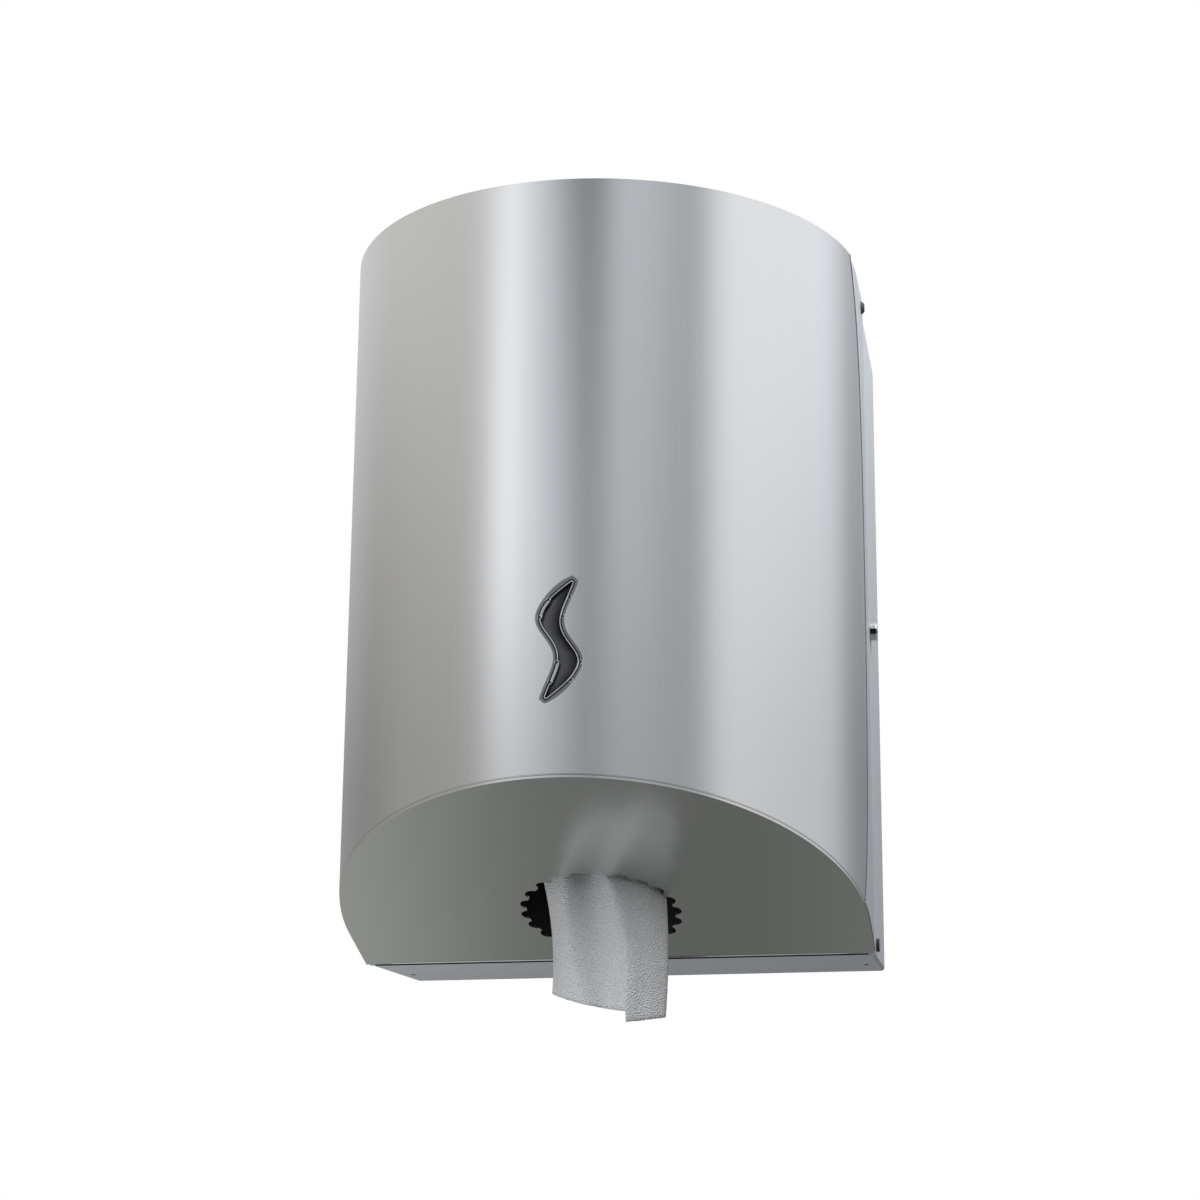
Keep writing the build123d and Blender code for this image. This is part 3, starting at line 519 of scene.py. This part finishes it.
# Painted highlight: the lip along the pan's rounded edge, and the brackets round the hooks' notches, are pale
# grey beads.
pale_highlight = beading("pale_highlight", highlight_grey, scale=300.0, least=0.12, most=0.22, IOR=lens_ior, Coat_Weight=0.4)
hook_grey = beading("hook_grey", hook_tone, scale=300.0, least=0.15, most=0.25, IOR=lens_ior)
shade_bead = beading("shade_bead", shade_black, scale=300.0, least=0.3, most=0.45, IOR=lens_ior)
wave_line, pan_line = (even_points([spot.xz for spot in line], outline_spacing)
                       for line in outlines_of("window_lens", lens_face)[:2])
bars, brackets, notches = [], [], []
for ends in hook_ends:
    bar = between(pan_line, *(window_middle + Vector(end) * window_half for end in ends))
    bars.append([spot + hook_shift for spot in bar])
    for end, way in ((bar[0], bar[1] - bar[0]), (bar[-1], bar[-1] - bar[-2])):
        run = way.normalized() * notch
        side = Vector((run.y, -run.x))
        seat = end + hook_shift + side * notch_out
        brackets.append([seat - run - side, seat + run - side, seat + run + side, seat - run + side])
        notches.append([seat - run * notch_half, seat + run * notch_half])
# Painted shade: black beads lie in the groove outside the lip and in the hooks' notches.
groove_line, edge_line = stepped_out(pan_line, groove_offset), stepped_out(wave_line, edge_offset)
for name, closed, lines, radius, sunk, material, slot in (
        ("lens_lip", True, [pan_line], lip_radius, 0.1, pale_highlight, "smoky_lens"),
        ("lens_hooks", False, bars, hook_radius, 0.45, hook_grey, "smoky_lens"),
        ("lens_brackets", True, brackets, bracket_radius, 0.05, pale_highlight, "smoky_lens"),
        ("lens_notch_shade", False, notches, notch_radius, 0.25, shade_bead, "black_moulding"),
        ("lens_groove_shade", True, [groove_line], groove_radius, 0.2, shade_bead, "black_moulding"),
        ("window_edge", True, [edge_line], edge_radius, 0.1, satin_steel, "satin_steel")):
    bead = cords(closed, wrapped(lines, lens_face - sunk * mm), radius)
    piece(name, bead, material, "cover", slot, smooth=60)

# Skin edges: a dark bead, painted shade for the seam, runs along the rear edges of the skin and the sides of
# the underside plate where they meet the cheeks, and a steel bead closes the slit between the skin's lower
# edge and the plate.
cover_reach = 130 * mm
skin_top, skin_rear = 174.5 * mm, -146 * mm
seam_shade_grey = (0.10, 0.102, 0.112, 1)
seam_radius = 0.3 * mm
slit_radius, slit_drop, slit_inset = 0.4 * mm, 0.3 * mm, 0.6 * mm
plate_reach = 129.8 * mm
plate_depth = 1.08 * mm
plate_rear, plate_low = -91 * mm, -175 * mm
plate_rise = math.tan(math.radians(22))
plate_margin = 2 * mm
plate_steps = 12


def plate_height(y):
    """The height of the plate's lower face this far from the wall."""
    return plate_low + plate_rise * (plate_rear - y)


def across(spots):
    """Points in order from left to right."""
    return sorted(spots, key=lambda spot: spot.x)


skin_line = outlines_of("cover_skin", cover_reach)[0]
near_plate = [spot.z < plate_height(spot.y) + plate_margin for spot in skin_line]
lower_edge = across(spot for spot, near in zip(skin_line, near_plate) if near)
top_edge = across(spot for spot in skin_line if spot.z > skin_top)
rear_edge = [spot for spot, near in zip(skin_line, near_plate)
             if not near and spot.y > skin_rear and spot.z < skin_top]
seams = [[low] + sorted((spot for spot in rear_edge if spot.x * low.x > 0), key=lambda spot: spot.z) + [high]
         for low, high in ((lower_edge[0], top_edge[0]), (lower_edge[-1], top_edge[-1]))]
for low in (lower_edge[0], lower_edge[-1]):
    steps = [low.y + (plate_rear - low.y) * k / plate_steps for k in range(plate_steps + 1)]
    seams.append([(math.copysign(math.sqrt(plate_reach**2 - min(y - axis_y, 0)**2), low.x), y,
                   plate_height(y) + plate_depth) for y in steps])
# Painted shade: the seam bead is dark grey.
seam_shade_bead = beading("seam_shade_bead", seam_shade_grey, scale=400.0, least=0.4, most=0.6)
piece("skin_seam_shade", cords(False, seams, seam_radius), seam_shade_bead, "cover", "black_moulding", smooth=60)
inward = [Vector((spot.x, spot.y - axis_y, 0)).normalized() * slit_inset for spot in lower_edge]
slit = [spot - step - Vector((0, 0, slit_drop)) for spot, step in zip(lower_edge, inward)]
piece("skin_slit_bead", cords(False, [slit], slit_radius), satin_steel, "cover", "satin_steel", smooth=60)

# Hinge arms and pins: brackets bent from 2 mm steel, zinc plated, screwed under the roll platform.
# Turned steel pins are pressed into the eyes at their lower ends and turn in the bushes.
dress(zinc_steel, "hinge_arm_left", "hinge_arm_right", "hinge_pins")

# Roll platform: a black moulded shelf with four stops round the roll and a chute that leads the paper down.
# Four zinc-plated screws, driven up through the arms' shelves, hold it.
platform_black = (0.01, 0.01, 0.011, 1)
platform_roughness = 0.6
dress(moulding("black_platform", platform_black, platform_roughness), "roll_platform")
dress(zinc_steel, "platform_screws")

# Lock keeper: a bent strip of zinc-plated steel with a hook that the lock's cam holds.
# Two screws of the same finish fix it to the right cheek.
dress(zinc_steel, "lock_keeper", "keeper_screws")

# Catch studs: dark domed plastic studs pressed through the cover's top corners.
# They are smoother than the cheeks, so their domes catch a little light.
stud_black = (0.035, 0.036, 0.039, 1)
stud_roughness = 0.4
dress(moulding("black_stud", stud_black, stud_roughness, depth=grain_depth / 2), "catch_studs")

# Paper roll: soft embossed tissue wound without a core, standing on the platform.
# Its turns show as fine rings on the ends, and its outer edges are rounded by handling.
paper_white = (0.80, 0.815, 0.845, 1)
paper_roughness = 0.9
roll_low, roll_high = (Vector(corner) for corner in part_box("paper_roll"))
roll_radius = (roll_high.x - roll_low.x) / 2
roll_axis = Vector((0, (roll_low.y + roll_high.y) / 2, 0))
core_radius = 31.8 * mm
roll_steps = 96
roll_edge = 2.5 * mm
roll_weld = 0.01 * mm
sharp_turn = 1.0
turn_pitch = 0.9 * mm
turn_shade = 0.9
turn_strength, turn_depth = 0.5, 0.3 * mm
ripple_scale, ripple_reach = 60.0, 2 * turn_pitch

roll_shell = bmesh.new()
corners = [(core_radius, roll_low.z), (roll_radius, roll_low.z),
           (roll_radius, roll_high.z), (core_radius, roll_high.z)]
section = [roll_shell.verts.new(roll_axis + Vector((r, 0, z))) for r, z in corners]
for a, b in zip(section, section[1:] + section[:1]):
    roll_shell.edges.new((a, b))
bmesh.ops.spin(roll_shell, geom=roll_shell.verts[:] + roll_shell.edges[:], cent=roll_axis, axis=(0, 0, 1),
               angle=math.tau, steps=roll_steps, use_merge=True)
bmesh.ops.remove_doubles(roll_shell, verts=roll_shell.verts, dist=roll_weld)
round_edges = [e for e in roll_shell.edges if len(e.link_faces) == 2 and e.calc_face_angle() > sharp_turn]
bevelled(roll_shell, round_edges, roll_edge, segments=4)

roll_paper, tree, shader = shaded("roll_paper", Roughness=paper_roughness)
ripple = cloudy(tree, object_spot(tree), ripple_scale, detail=3.0)
wavy = number(tree, "MULTIPLY_ADD", ripple, ripple_reach, radius_from(tree, roll_axis))
turns = number(tree, "SINE", number(tree, "MULTIPLY", wavy, math.tau / turn_pitch))
shade = ranged(tree, turns, -1.0, 1.0, turn_shade, 1.0)
join(tree, scaled(tree, paper_white[:3], shade), shader.inputs["Base Color"])
bump = place(tree, "Bump", {"Strength": turn_strength, "Distance": turn_depth, "Height": turns})
join(tree, bump.outputs[0], shader.inputs["Normal"])
dress(roll_paper, "paper_roll")
piece("tissue_roll", roll_shell, roll_paper, "cover", "towel_paper", "paper_roll")

# Tail of paper: the strip is as wide as the roll is tall and hangs in folds through the serrated outlet.
# Its front layer has two soft ridges, the rest lies to and fro behind it, and its end is torn off aslant.
# It is laid as rows of points joined by smooth curves, crinkled a little and given the tissue's thickness.
tail_top = -74 * mm
front_levels = (-145 * mm, -210 * mm)
least_fall = -0.1
at_outlet = [(-25, -149.5), (-20, -157.5), (-12.5, -164.2), (-2.5, -161.5), (4, -163.5), (10, -166),
             (19, -162.3), (26.3, -156.3), (32.2, -144.5)]
at_waist = [(-20.4, -150), (-16, -158), (-9, -163.8), (2.5, -161), (11, -163.2), (18.2, -166.2),
            (25.3, -162.2), (31.3, -158), (35.6, -152.5)]
at_end = [(-21.8, -151.5), (-12, -158.8), (0, -164), (7, -162.2), (12, -163.6), (17, -166), (24, -161.5),
          (30.2, -158), (34.5, -153)]
behind = [(31.6, -143.5), (26, -149), (17, -154.2), (8, -156.6), (-1, -156.8), (-10, -154.3), (-17, -150),
          (-18.3, -146.8), (-12, -149.4), (-4, -151.8), (5, -152.2), (14, -150.2), (22, -146), (26, -142),
          (24.5, -139.2), (17, -141.6)]
outlet_row, waist_row, end_row = at_outlet + behind, at_waist + behind, at_end + behind
torn = [(0, -196.8), (1, -200.2), (2, -203.7), (3, -205.4), (4, -206.4), (5.05, -207.4), (5.2, -212.1),
        (6, -211.4), (7, -210.4), (8, -209.5), (9, -197), (10, -192), (24, -190)]
fray, fray_rate, fray_row = 0.35 * mm, 9, 3.1
core_squeeze = 0.86
core_from, core_to = -118 * mm, -104 * mm
columns, rows = 300, 64
crinkle, crinkle_seed = 0.35 * mm, 7
crinkle_run, crinkle_row, crinkle_fall = 12 * mm, 7.3, 22 * mm
crinkle_lift = 0.6
ply_thickness = 0.3 * mm
dimple_size, dimple_stretch, dimple_turn = 1.0 * mm, (0.62, 1.2, 1), math.radians(18)
dimple_spread, dimple_edge = 0.6, 0.7
dimple_shade, dimple_base, dimple_depth = -0.28, 1.1, 0.5 * mm
bend_scale, bend_reach = 140.0, 0.9 * mm
fibre_scale, fibre_tone = 90.0, 0.08


def along(points, at):
    """The point at a count along the smooth curve through the points."""
    k = min(int(at), len(points) - 2)
    t = at - k
    a, b = Vector(points[max(k - 1, 0)]), Vector(points[k])
    c, d = Vector(points[k + 1]), Vector(points[min(k + 2, len(points) - 1)])
    return 0.5 * (2 * b + (c - a) * t + (2 * a - 5 * b + 4 * c - d) * t**2
                  + (3 * b - a - 3 * c + d) * t**3) * mm


def torn_end(at):
    """The height of the strip's torn end at a count along its points."""
    for (a, high), (b, low) in zip(torn, torn[1:]):
        if at <= b:
            straight = high + (low - high) * (at - a) / (b - a)
            break
    return straight * mm + noise.noise(Vector((at * fray_rate, fray_row, 0))) * fray


def strip_spot(at, z):
    """Where the strip lies in plan: a parabola through the three rows, drawn in inside the roll's core."""
    fall = max((z - front_levels[0]) / (front_levels[1] - front_levels[0]), least_fall)
    spot = (along(outlet_row, at) * 2 * (fall - 0.5) * (fall - 1)
            - along(waist_row, at) * 4 * fall * (fall - 1)
            + along(end_row, at) * 2 * fall * (fall - 0.5))
    pinch = min(max((z - core_from) / (core_to - core_from), 0), 1)
    return spot.lerp(roll_axis.xy + (spot - roll_axis.xy) * core_squeeze, pinch)


noise.seed_set(crinkle_seed)
tail_shell = bmesh.new()
strip_uv = tail_shell.loops.layers.uv.new("strip")
counts = [i / columns * (len(waist_row) - 1) for i in range(columns + 1)]
run = [0.0]
for before, after in zip(counts, counts[1:]):
    run.append(run[-1] + (along(waist_row, after) - along(waist_row, before)).length)
grid = []
for j in range(rows + 1):
    line = []
    for at, gone in zip(counts, run):
        z = tail_top + (torn_end(at) - tail_top) * j / rows
        spot = strip_spot(at, z)
        sway = noise.noise_vector(Vector((gone / crinkle_run, crinkle_row, z / crinkle_fall))) * crinkle
        line.append(tail_shell.verts.new((spot.x + sway.x, spot.y + sway.y, z + sway.z * crinkle_lift)))
    grid.append(line)
for upper, lower in zip(grid, grid[1:]):
    for i in range(columns):
        face = tail_shell.faces.new((upper[i], lower[i], lower[i + 1], upper[i + 1]))
        for loop, k in zip(face.loops, (i, i, i + 1, i + 1)):
            loop[strip_uv].uv = (run[k], loop.vert.co.z)

tail_paper, tree, shader = shaded("tail_paper", Roughness=paper_roughness)
strip = place(tree, "UVMap", uv_map="strip").outputs[0]
bend = scaled(tree, cloudy(tree, strip, bend_scale, detail=2.0, output="Color"), bend_reach)
bent = vector(tree, "ADD", strip, bend)
turned = place(tree, "Mapping", {"Vector": bent, "Rotation": (0, 0, dimple_turn),
                                 "Scale": dimple_stretch}).outputs[0]
cells = place(tree, "TexVoronoi", {"Vector": turned, "Scale": 1 / dimple_size, "Randomness": dimple_spread},
              voronoi_dimensions="2D").outputs
dimple = ranged(tree, cells["Distance"], 0.0, dimple_edge)
fibre = cloudy(tree, strip, fibre_scale, detail=5.0)
# Painted shade: the paper is darker towards the rims of the emboss cells, for the shade in the emboss.
shade = number(tree, "MULTIPLY_ADD", dimple, dimple_shade, dimple_base)
shade = number(tree, "MULTIPLY_ADD", fibre, fibre_tone, shade)
join(tree, scaled(tree, paper_white[:3], shade), shader.inputs["Base Color"])
bump = place(tree, "Bump", {"Strength": 1.0, "Distance": dimple_depth, "Height": dimple})
join(tree, bump.outputs[0], shader.inputs["Normal"])
dress(tail_paper, "paper_tail")
tail = piece("tissue_tail", tail_shell, tail_paper, "cover", "towel_paper", "paper_tail", smooth=70)
ply = tail.modifiers.new("ply", "SOLIDIFY")
ply.thickness = ply_thickness
ply.offset = 0

# Studio: a white surround and a pale floor well below the part, three soft lamps, and a round tent of cloth
# that only mirrors see. The tent has a strip light to the left, a broad one to the right, a dark card high in
# front, a bright top and a dim floor.
white = (1, 1, 1, 1)
floor_drop = -1300 * mm
floor_half = 6.0
floor_grey = (0.5, 0.5, 0.5, 1)
floor_roughness, floor_lift = 0.8, 0.65
tent_radius = 1.2
tent_centre = (0, -120 * mm, 0)
warm, plain, cool = (1.02, 1.0, 0.965), (1.0, 1.0, 1.01), (0.97, 1.0, 1.04)
green = (0.98, 1.01, 0.96)
cloth = [(-180, 0.36, 0.44, 0.66, plain), (-125, 0.37, 0.53, 0.81, plain), (-108, 0.35, 0.48, 0.83, warm),
         (-95, 0.385, 0.515, 0.82, warm), (-80, 0.45, 0.565, 0.84, warm), (-50, 0.46, 0.62, 0.80, warm),
         (-43, 0.53, 0.79, 0.92, plain), (-35, 0.76, 1.45, 1.35, plain), (-30, 0.83, 1.48, 1.40, plain),
         (-24, 0.80, 1.18, 1.13, cool), (-14, 0.65, 0.91, 0.78, cool), (-6, 0.54, 0.67, 0.50, cool),
         (0, 0.42, 0.46, 0.35, cool), (3, 0.38, 0.42, 0.35, cool), (8, 0.45, 0.57, 0.56, cool),
         (14, 0.53, 0.73, 0.82, cool), (20, 0.54, 0.71, 0.81, cool), (30, 0.525, 0.61, 0.73, cool),
         (42, 0.46, 0.51, 0.58, cool), (48, 0.55, 0.61, 0.65, cool), (56, 0.86, 1.02, 1.06, plain),
         (62, 0.92, 1.09, 1.26, plain), (85, 0.85, 1.04, 1.24, plain), (110, 0.81, 0.97, 1.25, cool),
         (120, 0.73, 0.90, 1.18, cool), (130, 0.52, 0.65, 0.91, cool), (142, 0.35, 0.45, 0.62, cool),
         (160, 0.29, 0.37, 0.53, cool), (180, 0.36, 0.44, 0.66, plain)]
low_band, high_band = (5, 13), (13, 29)
card_rise, card_side, card_black = (32, 36), (12, 8), (0.03, 0.03, 0.03)
summit_rise, summit_white = (60, 68), (1.6, 1.6, 1.6)
dim_floor = [(-1.0, 0.5), (-0.42, 0.5), (-0.33, 0.40), (-0.25, 0.24), (-0.15, 0.17), (-0.04, 0.165),
             (0.08, 0.24), (1.0, 0.4)]
floor_rise = (-0.55, -0.1)
surround = 0.172
lamps = [("key_lamp", (0.48, -0.2, 0.62), (0.1, -0.1, 0.0), 0.4, 5.8),
         ("fill_lamp", (0.2, -1.5, 0.85), (0, -0.15, -0.15), 0.9, 18.2),
         ("low_lamp", (-0.34, -0.28, -0.45), (-0.05, -0.05, -0.18), 0.2, 0.7)]


def light_mask(tree):
    """One where a camera, mirror or glass ray looks, so these see the background white."""
    seen = place(tree, "LightPath").outputs
    either = number(tree, "MAXIMUM", seen["Is Camera Ray"], seen["Is Glossy Ray"])
    return number(tree, "MAXIMUM", either, seen["Is Transmission Ray"])


def ramp(tree, source, stops):
    """The colour along (place, level, tint) stops, which are halved on the ramp to stay under one."""
    made = place(tree, "ValToRGB", {0: source})
    line = made.color_ramp.elements
    while len(line) > 1:
        line.remove(line[-1])
    for k, (at, level, tint) in enumerate(stops):
        stop = line[0] if k == 0 else line.new(at)
        stop.position = at
        stop.color = (level * tint[0] / 2, level * tint[1] / 2, level * tint[2] / 2, 1)
    return made.outputs[0]


def angled(tree, value, limits):
    """An angle brought from two limits in degrees to nought and one."""
    return ranged(tree, value, *(math.radians(limit) for limit in limits))


pale_floor, tree, shader = shaded("pale_floor", Base_Color=floor_grey, Roughness=floor_roughness,
                                  Emission_Color=white)
join(tree, number(tree, "MULTIPLY", light_mask(tree), floor_lift), shader.inputs["Emission Strength"])
shell = bmesh.new()
bmesh.ops.create_grid(shell, x_segments=1, y_segments=1, size=floor_half,
                      matrix=Matrix.Translation((0, 0, floor_drop)))
floor = made_object("floor", shell, pale_floor)

tent_cloth = bpy.data.materials.new("tent_cloth")
tent_cloth.use_nodes = True
tent_cloth.cycles.emission_sampling = "NONE"
tree = tent_cloth.node_tree
tree.nodes.clear()
facing = vector(tree, "NORMALIZE", vector(tree, "SUBTRACT", object_spot(tree), tent_centre))
axes = place(tree, "SeparateXYZ", {0: facing}).outputs
bearing = number(tree, "ARCTAN2", axes["X"], number(tree, "MULTIPLY", axes["Y"], -1.0))
slope = number(tree, "ARCSINE", axes["Z"])
share = number(tree, "MULTIPLY_ADD", bearing, 1 / math.tau, 0.5)
low, mid, high = (ramp(tree, share, [(row[0] / 360 + 0.5, row[at], row[4]) for row in cloth])
                  for at in (1, 2, 3))
aloft = blend(tree, angled(tree, slope, low_band), low, mid, "VECTOR")
aloft = blend(tree, angled(tree, slope, high_band), aloft, high, "VECTOR")
aloft = scaled(tree, aloft, 2.0)
card = angled(tree, number(tree, "ABSOLUTE", bearing), card_side)
card = number(tree, "MULTIPLY", card, angled(tree, slope, card_rise))
aloft = blend(tree, card, aloft, card_black, "VECTOR")
aloft = blend(tree, angled(tree, slope, summit_rise), aloft, summit_white, "VECTOR")
sideways = ranged(tree, axes["X"], -1.0, 1.0)
below = scaled(tree, ramp(tree, sideways, [((x + 1) / 2, level, green) for x, level in dim_floor]), 2.0)
rise = ranged(tree, axes["Z"], *floor_rise, interpolation_type="SMOOTHSTEP")
lit = place(tree, "Emission", {"Color": blend(tree, rise, below, aloft, "VECTOR"), "Strength": 1.0})
join(tree, lit.outputs[0], place(tree, "OutputMaterial").inputs[0])
shell = bmesh.new()
bmesh.ops.create_uvsphere(shell, u_segments=64, v_segments=32, radius=tent_radius,
                          matrix=Matrix.Translation(tent_centre))
tent = made_object("reflector_tent", shell, tent_cloth)
tent.visible_camera = tent.visible_diffuse = tent.visible_shadow = tent.visible_transmission = False

world = bpy.data.worlds.new("studio")
bpy.context.scene.world = world
world.use_nodes = True
tree = world.node_tree
back = tree.nodes["Background"]
back.inputs["Color"].default_value = white
join(tree, ranged(tree, light_mask(tree), 0.0, 1.0, surround, 1.0), back.inputs["Strength"])

for name, stand, aim, size, power in lamps:
    data = bpy.data.lights.new(name, "AREA")
    data.size = size
    data.energy = power
    lamp = bpy.data.objects.new(name, data)
    bpy.context.scene.collection.objects.link(lamp)
    lamp.location = stand
    lamp.rotation_euler = (Vector(aim) - Vector(stand)).to_track_quat("-Z", "Y").to_euler()
    lamp.visible_glossy = False

# Camera: stands below the part to the right of its middle and looks up at it, as the photograph does.
# Its sensor is shifted, because the part isn't in the middle of the view that the perspective comes from.
focal = 2273.5
frame_px = 1200
sensor = 36.0
middle_px = (800, 670)
eye = (211.5 * mm, -1223.0 * mm, -293.4 * mm)
yaw, pitch, roll = (math.radians(angle) for angle in (5.93, 13.08, -0.68))
lens = bpy.data.cameras.new("camera")
lens.sensor_width = sensor
lens.lens = focal * sensor / frame_px
lens.shift_x = (frame_px / 2 - middle_px[0]) / frame_px
lens.shift_y = (middle_px[1] - frame_px / 2) / frame_px
camera = bpy.data.objects.new("camera", lens)
bpy.context.scene.collection.objects.link(camera)
ahead = Vector((-math.sin(yaw) * math.cos(pitch), math.cos(yaw) * math.cos(pitch), math.sin(pitch)))
right = Vector((math.cos(yaw), math.sin(yaw), 0))
up = right.cross(ahead)
right, up = right * math.cos(roll) + up * math.sin(roll), up * math.cos(roll) - right * math.sin(roll)
camera.matrix_world = Matrix.Translation(eye) @ Matrix((right, up, -ahead)).transposed().to_4x4()
bpy.context.scene.camera = camera
bpy.context.scene.view_settings.view_transform = "Standard"
